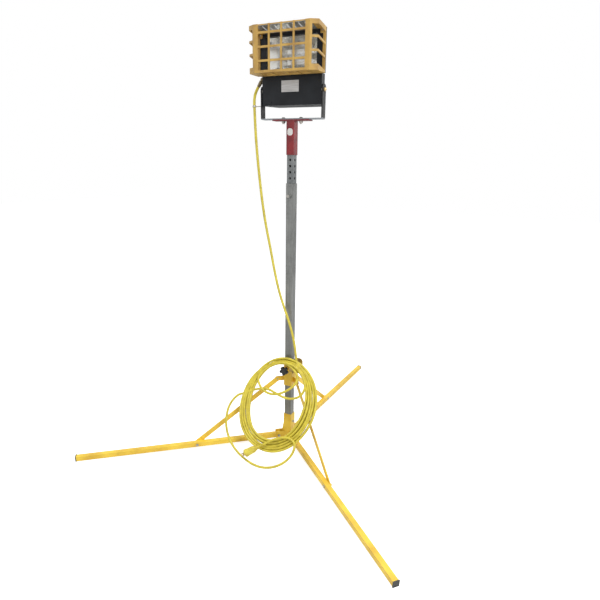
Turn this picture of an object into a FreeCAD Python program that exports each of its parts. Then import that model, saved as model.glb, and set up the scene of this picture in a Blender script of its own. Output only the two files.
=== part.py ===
"""Tripod work light: a caged floodlight on a telescoping square mast with three folding legs.

Frame: millimetres, +Z up. The origin is on the floor, on the mast's axis. The lamp faces -Y and its
width runs along X. The rear leg points along +Y.
"""
import FreeCAD, Part
import math
import os

import Sketcher

V = FreeCAD.Vector

doc = FreeCAD.newDocument("WorkLight")
sheet = doc.addObject("Spreadsheet::Sheet", "Dims")

SIZES = {
    # mast: a square outer tube and a perforated square inner tube
    "mast_width": 38.1,
    "mast_wall": 2.65,
    "mast_bottom": 16,
    "mast_top": 1329.4,
    "inner_width": 31.75,
    "inner_wall": 2.1,
    "inner_bottom": 598,
    "inner_hole": 11.1,
    "hole_pitch": 25.4,
    "hole_count": 33,
    "slide_gap": 0.4,
    "fit_gap": 0.3,
    "pivot_gap": 0.05,
    # lock pin in the front of the outer tube
    "pin_height": 1275,
    "pin_width": 9,
    "pin_travel": 6.5,
    "boss_width": 20,
    "boss_depth": 7,
    # collars
    "collar_wall": 2.6,
    "collar_bottom": 324,
    "collar_top": 440,
    "base_bottom": 24,
    "base_top": 154,
    "base_bolt_rise": 83,
    "plate": 3,
    "gusset_foot": 66,
    "gusset_head": 24,
    # legs, their pivots and struts
    "leg_width": 25.4,
    "leg_wall": 1.6,
    "leg_pivot_reach": 60,
    "leg_pivot_height": 26,
    "leg_inner_end": 11,
    "clevis_below": 14,
    "clevis_above": 24,
    "clevis_edge": 14,
    "leg_length": 1031,
    "leg_slope": 0.68,
    "leg_spread": 130.6,
    "strut_width": 25,
    "strut_thick": 4.8,
    "strut_reach": 438,
    "ear_reach": 62,
    "ear_width": 26,
    "ear_height": 355,
    "bolt_width": 8,
    "head_width": 13,
    "head_height": 5,
    "tip_size": 28.6,
    "tip_thick": 4,
    # star knob and cord hook on the upper collar
    "knob_height": 424,
    "knob_width": 47,
    "knob_depth": 18,
    "knob_reach": 52,
    "stud_width": 10,
    "collar_boss": 20,
    "collar_boss_length": 14,
    "hook_reach": 50,
    "hook_top": 482,
    "hook_seat": 438,
    "hook_front": 74,
    "hook_thick": 4,
    "hook_setback": 4,
    "hook_corner": 18,
    "hook_below_seat": 42,
    "hook_arm_start": 14,
    "hook_arm_width": 18,
    "hook_lip": 16,
    "hook_foot_height": 32,
    # socket, its plate and the yoke
    "socket_bottom": 1448,
    "socket_top": 1583.8,
    "socket_bore_depth": 112,
    "socket_plate_length": 178,
    "socket_plate": 5,
    "yoke_bar": 30,
    "yoke_thick": 4.8,
    "yoke_above_tilt": 6,
    "tilt_above_socket": 115.2,
    "yoke_bolt_spacing": 86,
    "yoke_bolt": 10,
    "yoke_nut": 16,
    "yoke_nut_height": 7,
    "yoke_washer": 20,
    "label_width": 26,
    "label_height": 28,
    "label_below_top": 29.8,
    "label_thick": 0.4,
    "label_corner": 10,
    "tilt_head": 15,
    "tilt_head_height": 4,
    "tilt_dome": 3.5,
    "tilt_spacer": 24,
    "tilt_spacer_length": 2.4,
    # ballast box
    "box_width": 284,
    "box_back_width": 216,
    "box_shoulder": 16,
    "box_front": 12,
    "box_depth": 85,
    "box_below_tilt": 55,
    "sheet_metal": 2.5,
    "nameplate_left": 47,
    "nameplate_width": 83,
    "nameplate_height": 43,
    "nameplate_below_tilt": 5,
    "nameplate_thick": 0.8,
    "cover_post": 11,
    "cover_screw": 4,
    "cover_screw_depth": 12,
    # what the gear box holds
    "core_left": 62,
    "core_width": 80,
    "core_depth": 64,
    "core_height": 72,
    "core_limb": 15,
    "core_end": 14,
    "winding_inset": 8,
    "capacitor_x": 47,
    "capacitor_y": 25,
    "capacitor_width": 45,
    "capacitor_height": 70,
    "igniter_left": 76,
    "igniter_width": 34,
    "igniter_depth": 30,
    "igniter_height": 34,
    "block_left": 120,
    "block_width": 48,
    "block_depth": 22,
    "block_height": 16,
    # lamp housing, door frame, glass and reflector
    "frame_width": 304,
    "frame_above_tilt": 58,
    "frame_rail": 18,
    "frame_head": 19,
    "frame_face": 18,
    "frame_thick": 6,
    "window_width": 238,
    "window_height": 121,
    "glass_thick": 5,
    "gasket_thick": 2,
    "housing_depth": 92,
    "housing_wall": 3,
    "housing_back_width": 190,
    "housing_back_height": 92,
    "glass_rim": 8,
    "housing_bolt_x": 100,
    "housing_bolt": 5,
    "reflector_depth": 74,
    "reflector_back_width": 128,
    "reflector_back_height": 58,
    "reflector_wall": 1.2,
    "holder_inside": 48,
    "holder_width": 12,
    "holder_height": 18,
    "holder_depth": 30,
    "lamp_from_back": 20,
    "bulb_width": 18,
    "bulb_length": 84,
    "pinch_width": 8,
    # guard cage
    "cage_front": 101,
    "cage_half": 127,
    "cage_chamfer": 31,
    "cage_chamfer_run": 16,
    "cage_post": 20,
    "cage_bar": 7.6,
    "cage_depth": 4,
    "cage_below_frame": 2,
    "cage_above_frame": 9,
    "cage_drop": 12,
    "cage_row": 48.6,
    "cage_first_row": 42.5,
    "cage_column": 56.2,
    "cage_flange": 12,
    "cage_tab": 24,
    "case_screw": 4,
    "case_screw_inset": 8,
    "side_window_low_1": 21,
    "side_window_high_1": 63,
    "side_window_low_2": 71,
    "side_window_high_2": 109,
    "side_window_low_3": 117,
    "side_window_high_3": 153,
    "shield_thick": 1.2,
    "shield_slots": 8,
    "slot_pitch": 27,
    "slot_width": 3,
    "slot_end": 12,
    # cord
    "cord_width": 12,
    "gland_above_tilt": 48,
    "gland_y": 5,
    "gland_reach": 10,
    "gland_width": 17,
    "gland_nut": 22,
    "gland_dip": 52,
    "relief_length": 25,
    "relief_width": 17,
    "clip_wall": 2,
    "clip_length": 6,
    "clip_stalk": 4,
    "coil_x": 17,
    "coil_top": 464,
    "coil_front": 47,
    "coil_lean": 33,
    "coil_half_width": 180,
    "coil_half_height": 215,
    "coil_drop": 207,
    "coil_band": 50,
    "coil_depth": 18,
    "plug_length": 78,
    "plug_width": 40,
}

for row, (alias, number) in enumerate(SIZES.items(), start=1):
    sheet.set("A%d" % row, alias.replace("_", " "))
    sheet.set("B%d" % row, repr(number))
    sheet.setAlias("B%d" % row, alias)
doc.recompute()


class Size:
    """A length or angle that carries its value and the spreadsheet formula that it comes from."""

    def __init__(self, value, text):
        self.value = value
        self.text = text

    @staticmethod
    def of(other):
        return other if isinstance(other, Size) else Size(float(other), repr(float(other)))

    def __add__(self, other):
        other = Size.of(other)
        return Size(self.value + other.value, "(%s + %s)" % (self.text, other.text))

    def __radd__(self, other):
        return Size.of(other) + self

    def __sub__(self, other):
        other = Size.of(other)
        return Size(self.value - other.value, "(%s - %s)" % (self.text, other.text))

    def __rsub__(self, other):
        return Size.of(other) - self

    def __mul__(self, other):
        other = Size.of(other)
        return Size(self.value * other.value, "(%s * %s)" % (self.text, other.text))

    __rmul__ = __mul__

    def __truediv__(self, other):
        other = Size.of(other)
        return Size(self.value / other.value, "(%s / %s)" % (self.text, other.text))

    def __neg__(self):
        return Size(-self.value, "(0 - %s)" % self.text)

    def __float__(self):
        return self.value


class Dims:
    """Every driving dimension by its name, bound to the spreadsheet."""

    def __getattr__(self, alias):
        return Size(float(sheet.get(alias)), "Dims." + alias)


D = Dims()


# ---------------------------------------------------------------- building helpers

def put(obj, prop, value):
    """Sets a property, as an expression where the value comes from the spreadsheet."""
    if isinstance(value, Size):
        obj.setExpression(prop, value.text)
    elif "." not in prop:
        setattr(obj, prop, value)
    else:
        obj.setExpression(prop, repr(float(value)))


def place(obj, x=0, y=0, z=0, axis=None, angle=0):
    """Places an object at x, y, z, turned by an angle about an axis."""
    if axis is not None:
        obj.Placement = FreeCAD.Placement(V(), FreeCAD.Rotation(axis, max(float(angle), 0.001)))
        if isinstance(angle, Size):
            put(obj, "Placement.Rotation.Angle", angle)
        else:
            obj.Placement = FreeCAD.Placement(V(), FreeCAD.Rotation(axis, angle))
    for letter, value in zip("xyz", (x, y, z)):
        if isinstance(value, Size) or value:
            put(obj, "Placement.Base." + letter, value)
    return obj


def box(x, y, z):
    """A box from three (low, high) pairs."""
    obj = doc.addObject("Part::Box", "Box")
    for prop, (low, high) in zip(("Length", "Width", "Height"), (x, y, z)):
        put(obj, prop, Size.of(high) - low)
    return place(obj, x[0], y[0], z[0])


def centred_box(width, depth, z):
    """A box centred on the Z axis, between two heights."""
    width, depth = Size.of(width), Size.of(depth)
    return box((-width / 2, width / 2), (-depth / 2, depth / 2), z)


AXES = {
    "x": FreeCAD.Rotation(V(0, 1, 0), 90),
    "y": FreeCAD.Rotation(V(1, 0, 0), -90),
    "z": FreeCAD.Rotation(),
}


def solid_of_turning(kind, along, start, props):
    obj = doc.addObject(kind, kind.split("::")[1])
    for prop, value in props.items():
        put(obj, prop, Size.of(value))
    obj.Placement = FreeCAD.Placement(V(), AXES[along])
    for letter, value in zip("xyz", start):
        put(obj, "Placement.Base." + letter, Size.of(value))
    return obj


def rod(diameter, length, along, start):
    """A cylinder that starts at a point and runs in the + direction of an axis."""
    return solid_of_turning("Part::Cylinder", along, start, {"Radius": Size.of(diameter) / 2, "Height": length})


def cone(first, last, length, along, start):
    """A cone between two diameters."""
    sizes = {"Radius1": Size.of(first) / 2, "Radius2": Size.of(last) / 2, "Height": length}
    return solid_of_turning("Part::Cone", along, start, sizes)


def hexagon(across_flats, length, along, start):
    """A hexagonal prism, given its width across flats."""
    sizes = {"Circumradius": Size.of(across_flats) / math.sqrt(3), "Height": length}
    obj = solid_of_turning("Part::Prism", along, start, sizes)
    obj.Polygon = 6
    return obj


def fuse(*parts):
    if len(parts) == 1:
        return parts[0]
    obj = doc.addObject("Part::MultiFuse", "Fuse")
    obj.Shapes = list(parts)
    obj.Refine = True
    return obj


def cut(base, *tools):
    obj = doc.addObject("Part::Cut", "Cut")
    obj.Base = base
    obj.Tool = fuse(*tools)
    return obj


def group(*parts):
    """Separate solids that share one node."""
    obj = doc.addObject("Part::Compound", "Group")
    obj.Links = list(parts)
    return obj


def body(name):
    return doc.addObject("PartDesign::Body", name)


def plane_of(owner, role):
    return next(f for f in owner.Origin.OriginFeatures if f.Role == role)


def outline(owner, role, loops, offset=0):
    """A sketch on an origin plane whose every corner is tied to the spreadsheet."""
    sketch = owner.newObject("Sketcher::SketchObject", "Outline")
    sketch.AttachmentSupport = [(plane_of(owner, role), "")]
    sketch.MapMode = "FlatFace"
    if isinstance(offset, Size):
        sketch.setExpression("AttachmentOffset.Base.z", offset.text)
    for corners in loops:
        corners = [(Size.of(a), Size.of(b)) for a, b in corners]
        first = len(sketch.Geometry)
        count = len(corners)
        for i, (a, b) in enumerate(corners):
            c, e = corners[(i + 1) % count]
            sketch.addGeometry(Part.LineSegment(V(a.value, b.value, 0), V(c.value, e.value, 0)), False)
        for i, corner in enumerate(corners):
            line = first + i
            following = first + (i + 1) % count
            sketch.addConstraint(Sketcher.Constraint("Coincident", line, 2, following, 1))
            for kind, size in zip(("DistanceX", "DistanceY"), corner):
                index = sketch.addConstraint(Sketcher.Constraint(kind, -1, 1, line, 1, size.value))
                sketch.setExpression("Constraints[%d]" % index, size.text)
    return sketch


def circle_sketch(owner, role, x, y, diameter):
    """A sketch with one circle, its centre and size tied to the spreadsheet."""
    sketch = owner.newObject("Sketcher::SketchObject", "Circle")
    sketch.AttachmentSupport = [(plane_of(owner, role), "")]
    sketch.MapMode = "FlatFace"
    x, y, diameter = Size.of(x), Size.of(y), Size.of(diameter)
    sketch.addGeometry(Part.Circle(V(x.value, y.value, 0), V(0, 0, 1), diameter.value / 2), False)
    for kind, size in (("DistanceX", x), ("DistanceY", y)):
        index = sketch.addConstraint(Sketcher.Constraint(kind, -1, 1, 0, 3, size.value))
        sketch.setExpression("Constraints[%d]" % index, size.text)
    index = sketch.addConstraint(Sketcher.Constraint("Diameter", 0, diameter.value))
    sketch.setExpression("Constraints[%d]" % index, diameter.text)
    return sketch


def rectangle(low_x, high_x, low_y, high_y):
    return [(low_x, low_y), (high_x, low_y), (high_x, high_y), (low_x, high_y)]


def square(width):
    return rectangle(-width / 2, width / 2, -width / 2, width / 2)


def pad(owner, sketch, length, both_ways=False):
    feature = owner.newObject("PartDesign::Pad", "Pad")
    feature.Profile = sketch
    put(feature, "Length", Size.of(length))
    feature.Midplane = both_ways
    return feature


def drill_through(owner, sketch, reach):
    """Cuts a sketch through the body on both sides of its plane."""
    feature = owner.newObject("PartDesign::Pocket", "Pocket")
    feature.Profile = sketch
    put(feature, "Length", Size.of(reach))
    feature.Midplane = True
    return feature


def round_edges(obj, radius, chosen):
    """Rounds the edges of an object that a test picks."""
    doc.recompute()
    feature = doc.addObject("Part::Fillet", "Rounded")
    feature.Base = obj
    edges = [i for i, edge in enumerate(obj.Shape.Edges, start=1) if chosen(edge)]
    feature.Edges = [(i, float(radius), float(radius)) for i in edges]
    return feature


def upright(edge):
    """True for a straight edge along Z."""
    return edge.BoundBox.XLength < 0.01 and edge.BoundBox.YLength < 0.01


PIECES = []


def piece(name, obj):
    """Names one sub-part, which becomes one node."""
    obj.Label = name
    PIECES.append(obj)
    return obj


def feature(name, shape):
    """A sub-part whose shape is worked out from the sheet in code."""
    obj = doc.addObject("Part::Feature", name)
    obj.Shape = shape
    return piece(name, obj)


def bolt(along, start, shank, length, head_first=True):
    """A hexagon-head bolt. The head lies outside the shank's length, at its start or at its end."""
    x, y, z = (Size.of(value) for value in start)
    head = {"x": [x, y, z], "y": [x, y, z], "z": [x, y, z]}[along]
    index = "xyz".index(along)
    head[index] = head[index] - D.head_height if head_first else head[index] + length
    return fuse(rod(shank, length, along, start), hexagon(D.head_width, D.head_height, along, head))


def nut(along, start, shank):
    """A hexagon nut with a bore that clears its bolt's thread by a hair."""
    x, y, z = start
    blank = hexagon(D.head_width, D.head_height, along, start)
    return cut(blank, rod(Size.of(shank) + 0.02, D.head_height, along, (x, y, z)))


# ---------------------------------------------------------------- the mast

def build_mast():
    """The galvanised outer tube, its foot cap, the lock pin and the perforated inner tube."""
    tube = body("OuterTube")
    walls = outline(tube, "XY_Plane", [square(D.mast_width), square(D.mast_width - 2 * D.mast_wall)],
                    D.mast_bottom)
    pad(tube, walls, D.mast_top - D.mast_bottom)
    rounded = round_edges(tube, D.mast_wall, lambda edge: upright(edge) and abs(edge.CenterOfMass.x) > 18)
    front = -D.mast_width / 2 - 1
    holes = [
        rod(D.pin_width + 2 * D.pivot_gap, D.mast_wall + 2, "y", (0, front, D.pin_height)),
        rod(D.bolt_width + 2 * D.pivot_gap, D.mast_width + 2, "x", (front, 0, BASE_BOLT_HEIGHT)),
    ]
    boss = rod(D.boss_width, D.boss_depth + 1, "y", (0, -D.mast_width / 2 - D.boss_depth, D.pin_height))
    holes.append(rod(D.pin_width + 2 * D.pivot_gap, D.boss_depth + 2, "y",
                     (0, -D.mast_width / 2 - D.boss_depth - 1, D.pin_height)))
    piece("mast_outer_tube", cut(fuse(rounded, boss), *holes))

    bore = D.mast_width - 2 * D.mast_wall
    cap = fuse(centred_box(D.mast_width, D.mast_width, (D.mast_bottom - 4, D.mast_bottom)),
               centred_box(bore - 2 * D.fit_gap, bore - 2 * D.fit_gap, (D.mast_bottom, D.mast_bottom + 18)))
    piece("mast_foot_cap", cap)

    inner = body("InnerTube")
    walls = outline(inner, "XY_Plane", [square(D.inner_width), square(D.inner_width - 2 * D.inner_wall)],
                    D.inner_bottom)
    pad(inner, walls, INNER_TOP - D.inner_bottom)
    for role in ("XZ_Plane", "YZ_Plane"):
        hole = drill_through(inner, circle_sketch(inner, role, 0, FIRST_HOLE, D.inner_hole), D.mast_width)
        row = inner.newObject("PartDesign::LinearPattern", "HoleRow")
        row.Originals = [hole]
        row.Direction = (plane_of(inner, "Z_Axis"), [""])
        put(row, "Length", D.hole_pitch * (D.hole_count - 1))
        put(row, "Occurrences", D.hole_count)
        inner.Tip = row
    piece("mast_inner_tube", inner)

    face = D.mast_width / 2
    cap_back = -face - D.boss_depth - D.pin_travel - D.fit_gap
    tip = -D.inner_width / 2 - D.fit_gap
    pin = fuse(rod(D.pin_width, tip - cap_back, "y", (0, cap_back, D.pin_height)),
               rod(D.pin_width + 5, 4, "y", (0, cap_back - 4, D.pin_height)))
    piece("lock_pin", pin)


# ---------------------------------------------------------------- legs, collars and struts

INNER_TOP = D.socket_bottom + D.socket_bore_depth
FIRST_HOLE = D.pin_height - D.hole_pitch * 26
BASE_BOLT_HEIGHT = D.base_bottom + D.base_bolt_rise
SLEEVE = D.mast_width + 2 * D.slide_gap + 2 * D.collar_wall
LEG_SIDE = D.leg_width / 2
STRUT_INSIDE = LEG_SIDE + D.slide_gap
STRUT_OUTSIDE = STRUT_INSIDE + D.strut_thick
EAR_INSIDE = STRUT_OUTSIDE + D.fit_gap
EAR_OUTSIDE = EAR_INSIDE + D.plate
CLEVIS_INSIDE = LEG_SIDE + D.slide_gap
CLEVIS_OUTSIDE = CLEVIS_INSIDE + D.plate

# each leg's name, its heading about +Z and the side (+1 is counter-clockwise) that its strut is on
REAR_HEADING = 90
LEGS = (
    ("left", REAR_HEADING + float(D.leg_spread), -1),
    ("front", REAR_HEADING - float(D.leg_spread), 1),
    ("rear", REAR_HEADING, 1),
)


def turned(obj, heading, reach=0, height=0, dip=0):
    """Moves a shape drawn along +X to a leg's heading, out to a reach and height, dipping by an angle."""
    if obj.ExpressionEngine:
        obj = group(obj)
    spin = FreeCAD.Placement(V(), FreeCAD.Rotation(V(0, 0, 1), heading))
    shift = FreeCAD.Placement(V(float(reach), 0, float(height)), FreeCAD.Rotation(V(0, 1, 0), float(dip)))
    obj.Placement = spin.multiply(shift).multiply(obj.Placement)
    return obj


def sided(low, high, side):
    """A (low, high) pair on one side of a leg's centre plane."""
    return (low, high) if side > 0 else (-high, -low)


def build_leg(name, heading):
    """A square steel leg, drawn from its pivot along +X, with its tip plug."""
    leg = body("Leg")
    walls = outline(leg, "YZ_Plane", [square(D.leg_width), square(D.leg_width - 2 * D.leg_wall)],
                    -D.leg_inner_end)
    pad(leg, walls, D.leg_inner_end + D.leg_length)
    for reach in (Size.of(0), D.strut_reach):
        drill_through(leg, circle_sketch(leg, "XZ_Plane", reach, 0, D.bolt_width + 2 * D.pivot_gap),
                      2 * D.leg_width)
    tube = round_edges(leg, D.leg_wall, lambda edge: edge.Length > 900 and abs(edge.CenterOfMass.z) > 12
                       and abs(edge.CenterOfMass.y) > 12)
    piece(name + "_leg", turned(tube, heading, D.leg_pivot_reach, D.leg_pivot_height, D.leg_slope))

    bore = D.leg_width - 2 * D.leg_wall - 2 * D.fit_gap
    half, tip = D.tip_size / 2, D.tip_size / 2
    plug = fuse(box((D.leg_length, D.leg_length + D.tip_thick), (-half, half), (-tip, tip)),
                box((D.leg_length - 22, D.leg_length), (-bore / 2, bore / 2), (-bore / 2, bore / 2)))
    plug = turned(plug, heading, D.leg_pivot_reach, D.leg_pivot_height, D.leg_slope)
    below_floor = centred_box(4 * D.leg_length, 4 * D.leg_length, (-20, 0))
    piece(name + "_leg_tip", cut(plug, below_floor))


def strut_dip():
    """The strut's length and its dip below the horizontal."""
    slope = math.radians(float(D.leg_slope))
    reach = float(D.leg_pivot_reach) + float(D.strut_reach) * math.cos(slope) - float(D.ear_reach)
    drop = float(D.ear_height) - float(D.leg_pivot_height) + float(D.strut_reach) * math.sin(slope)
    return math.hypot(reach, drop), math.degrees(math.atan2(drop, reach))


def build_strut(name, heading, side):
    """A flat strut beside its leg, with the nut of its lower pivot, and the bolt that faces it in the leg."""
    length, dip = strut_dip()
    across = sided(STRUT_INSIDE, STRUT_OUTSIDE, side)
    ends = [rod(D.strut_width, D.strut_thick, "y", (x, across[0], 0)) for x in (0, length)]
    outer = sided(STRUT_OUTSIDE, STRUT_OUTSIDE + D.head_height, side)
    thread = sided(STRUT_OUTSIDE, STRUT_OUTSIDE + D.head_height + 3, side)
    ends.append(rod(D.bolt_width, thread[1] - thread[0], "y", (length, thread[0], 0)))
    ends.append(hexagon(D.head_width, D.head_height, "y", (length, outer[0], 0)))
    bar = fuse(box((0, length), across, (-D.strut_width / 2, D.strut_width / 2)), *ends)
    hole = rod(D.bolt_width + 2 * D.pivot_gap, D.strut_thick, "y", (0, across[0], 0))
    piece(name + "_strut", turned(cut(bar, hole), heading, D.ear_reach, D.ear_height, dip))

    start = -LEG_SIDE
    pin = bolt("y", (D.strut_reach, start, 0), D.bolt_width, D.leg_width, head_first=side > 0)
    piece(name + "_strut_bolt", turned(pin, heading, D.leg_pivot_reach, D.leg_pivot_height, D.leg_slope))


def build_lower_collar():
    """The fixed base collar: a sleeve, a pair of clevis plates for each leg and a front gusset."""
    half = SLEEVE / 2
    parts = [centred_box(SLEEVE, SLEEVE, (D.base_bottom, D.base_top))]
    plate_low, plate_high = D.leg_pivot_height - D.clevis_below, D.leg_pivot_height + D.clevis_above
    tip = D.leg_pivot_reach + D.clevis_edge
    for _, heading, _ in LEGS:
        for side in (-1, 1):
            wing = box((15, tip), sided(CLEVIS_INSIDE, CLEVIS_OUTSIDE, side), (plate_low, plate_high))
            parts.append(turned(wing, heading))
    gusset = body("Gusset")
    foot, head = D.gusset_foot / 2, D.gusset_head / 2
    low, high = plate_high - 12, D.base_top - 8
    corners = [(-foot, low), (foot, low), (head, high), (-head, high)]
    pad(gusset, outline(gusset, "XZ_Plane", [corners], half), D.plate)
    parts.append(gusset)
    holes = [centred_box(D.mast_width + 2 * D.fit_gap, D.mast_width + 2 * D.fit_gap, (0, D.base_top + 10)),
             rod(D.bolt_width + 2 * D.pivot_gap, 2 * SLEEVE, "x", (-SLEEVE, 0, BASE_BOLT_HEIGHT))]
    for _, heading, _ in LEGS:
        drill = rod(D.bolt_width + 2 * D.pivot_gap, 4 * CLEVIS_OUTSIDE, "y",
                    (D.leg_pivot_reach, -2 * CLEVIS_OUTSIDE, D.leg_pivot_height))
        holes.append(turned(drill, heading))
    piece("lower_collar", cut(fuse(*parts), *holes))

    bolts, nuts = [], []
    for _, heading, side in LEGS:
        start = (D.leg_pivot_reach, -CLEVIS_OUTSIDE, D.leg_pivot_height)
        bolts.append(turned(bolt("y", start, D.bolt_width, 2 * CLEVIS_OUTSIDE + D.head_height + 2), heading))
        end = (D.leg_pivot_reach, CLEVIS_OUTSIDE, D.leg_pivot_height)
        nuts.append(turned(nut("y", end, D.bolt_width), heading))
    nuts.append(nut("x", (half, 0, BASE_BOLT_HEIGHT), D.bolt_width))
    piece("leg_pivot_bolts", group(*bolts))
    piece("base_nuts", group(*nuts))

    cross = bolt("x", (-half, 0, BASE_BOLT_HEIGHT), D.bolt_width, SLEEVE + D.head_height + 4)
    piece("collar_cross_bolt", cross)


def build_upper_collar():
    """The sliding collar with one ear for each strut, the knob's boss, its bolts and the cord hook."""
    half = SLEEVE / 2
    sleeve = centred_box(SLEEVE, SLEEVE, (D.collar_bottom, D.collar_top))
    boss_length = D.collar_boss_length
    parts = [sleeve, rod(D.collar_boss, boss_length + 1, "y", (0, -half - boss_length, D.knob_height))]
    bore = D.mast_width + 2 * D.slide_gap
    holes = [centred_box(bore, bore, (D.collar_bottom - 10, D.collar_top + 10)),
             rod(D.stud_width + 2 * D.pivot_gap, 40, "y", (0, -half - boss_length - 1, D.knob_height))]
    bolts = []
    for _, heading, side in LEGS:
        across = sided(EAR_INSIDE, EAR_OUTSIDE, side)
        low, high = D.ear_height - D.ear_width / 2, D.ear_height + D.ear_width / 2
        parts.append(turned(box((0, D.ear_reach), across, (low, high)), heading))
        round_end = rod(D.ear_width, D.plate, "y", (D.ear_reach, across[0], D.ear_height))
        parts.append(turned(round_end, heading))
        drill = rod(D.bolt_width + 2 * D.pivot_gap, 3 * D.plate, "y",
                    (D.ear_reach, across[0] - D.plate, D.ear_height))
        holes.append(turned(drill, heading))
        shank = sided(STRUT_INSIDE, EAR_OUTSIDE, side)
        pin = bolt("y", (D.ear_reach, shank[0], D.ear_height), D.bolt_width, shank[1] - shank[0],
                   head_first=side < 0)
        bolts.append(turned(pin, heading))
    piece("upper_collar", cut(fuse(*parts), *holes))
    piece("strut_ear_bolts", group(*bolts))

    tip = -D.mast_width / 2 - D.fit_gap
    piece("knob_stud", rod(D.stud_width, tip + D.knob_reach + D.knob_depth - 4, "y",
                           (0, -D.knob_reach - D.knob_depth + 4, D.knob_height)))

    hub = [rod(0.6 * D.knob_width, D.knob_depth, "y", (0, -D.knob_reach - D.knob_depth, D.knob_height))]
    lobes = 5
    for i in range(lobes):
        angle = 2 * math.pi * i / lobes - math.pi / 2
        centre = 0.33 * D.knob_width
        hub.append(rod(0.34 * D.knob_width, 0.8 * D.knob_depth, "y",
                       (centre * math.cos(angle), -D.knob_reach - 0.9 * D.knob_depth,
                        D.knob_height + centre * math.sin(angle))))
    socket = rod(D.stud_width, D.knob_depth, "y", (0, -D.knob_reach - D.knob_depth + 4, D.knob_height))
    piece("star_knob", cut(fuse(*hub), socket))

    top_radius = D.hook_corner
    back = D.hook_setback
    plate_y = (back, back + D.hook_thick)
    right = half + D.hook_reach
    hook_bottom = D.hook_seat - D.hook_below_seat
    outer = [box((half, right), plate_y, (hook_bottom, D.hook_top - top_radius)),
             box((half + top_radius, right - top_radius), plate_y, (hook_bottom, D.hook_top))]
    for x in (half + top_radius, right - top_radius):
        outer.append(rod(2 * top_radius, D.hook_thick, "y", (x, back, D.hook_top - top_radius)))
    arm_x = (half + D.hook_arm_start, half + D.hook_arm_start + D.hook_arm_width)
    underside = D.hook_seat - D.hook_thick
    arm = box(arm_x, (-D.hook_front, back), (underside, D.hook_seat))
    lip = box(arm_x, (-D.hook_front, D.hook_thick - D.hook_front), (underside, D.hook_seat + D.hook_lip))
    foot_z = (hook_bottom, hook_bottom + D.hook_foot_height)
    foot = box((half, half + D.plate), (-D.hook_arm_start, back), foot_z)
    piece("cord_hook", fuse(*outer, arm, lip, foot))


# ---------------------------------------------------------------- socket and yoke

TILT_HEIGHT = D.socket_top + D.tilt_above_socket
YOKE_WIDTH = D.box_width + 2 * (D.tilt_spacer_length + D.fit_gap + D.yoke_thick)

def build_socket():
    """The red socket that plugs over the inner tube, its cross plate, its bare label and the yoke."""
    tube = cut(centred_box(D.mast_width, D.mast_width, (D.socket_bottom, D.socket_top)),
               centred_box(D.inner_width + 2 * D.fit_gap, D.inner_width + 2 * D.fit_gap,
                           (D.socket_bottom, D.socket_bottom + D.socket_bore_depth)))
    tube = round_edges(tube, D.mast_wall, lambda edge: upright(edge) and abs(edge.CenterOfMass.x) > 18)
    plate_top = D.socket_top + D.socket_plate
    plate = centred_box(D.socket_plate_length, D.mast_width, (D.socket_top, plate_top))
    bolt_x = D.yoke_bolt_spacing / 2
    holes = [rod(D.yoke_bolt + 2 * D.pivot_gap, 20, "z", (side * bolt_x, 0, D.socket_top - 5))
             for side in (-1, 1)]
    piece("mount_socket", cut(fuse(tube, plate), *holes))
    front = -D.mast_width / 2
    label_top = D.socket_top - D.label_below_top
    oval = box((-D.label_width / 2, D.label_width / 2), (front - D.label_thick, front),
               (label_top - D.label_height, label_top))
    label = round_edges(oval, D.label_corner,
                        lambda edge: edge.BoundBox.XLength < 0.01 and edge.BoundBox.ZLength < 0.01)
    piece("socket_label", label)

    floor = plate_top + D.yoke_thick
    arm_top = TILT_HEIGHT + D.yoke_above_tilt
    half = YOKE_WIDTH / 2
    bar = D.yoke_bar
    shell = cut(centred_box(YOKE_WIDTH, bar, (plate_top, arm_top)),
                centred_box(YOKE_WIDTH - 2 * D.yoke_thick, 2 * bar, (floor, arm_top + 10)))
    shell = round_edges(shell, D.yoke_thick, lambda edge: edge.BoundBox.XLength < 0.01
                        and edge.BoundBox.ZLength < 0.01 and edge.CenterOfMass.z < float(plate_top) + 1)
    caps, holes = [], []
    for low in (-half, half - D.yoke_thick):
        caps.append(rod(bar, D.yoke_thick, "x", (low, 0, arm_top)))
        holes.append(rod(D.yoke_bolt + 2 * D.pivot_gap, D.yoke_thick, "x", (low, 0, TILT_HEIGHT)))
    holes += [rod(D.yoke_bolt + 2 * D.pivot_gap, 20, "z", (side * bolt_x, 0, plate_top - 5))
              for side in (-1, 1)]
    piece("yoke", cut(fuse(shell, *caps), *holes))

    bolts, nuts = [], []
    for side in (-1, 1):
        x = side * bolt_x
        thread = D.yoke_nut_height + 5
        shank = rod(D.yoke_bolt, D.socket_plate + D.yoke_thick + thread, "z", (x, 0, D.socket_top - thread))
        bolts.append(fuse(shank, cone(2 * D.yoke_bolt, D.yoke_bolt, 5, "z", (x, 0, floor))))
        nut_low = (x, 0, D.socket_top - D.yoke_nut_height)
        blank = fuse(hexagon(D.yoke_nut, D.yoke_nut_height, "z", nut_low),
                     rod(D.yoke_washer, 2, "z", (x, 0, D.socket_top - 2)))
        nuts.append(cut(blank, rod(D.yoke_bolt + 0.02, D.yoke_nut_height, "z", nut_low)))
    piece("yoke_bolts", group(*bolts))
    piece("yoke_nuts", group(*nuts))


# ---------------------------------------------------------------- the lamp head

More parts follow.
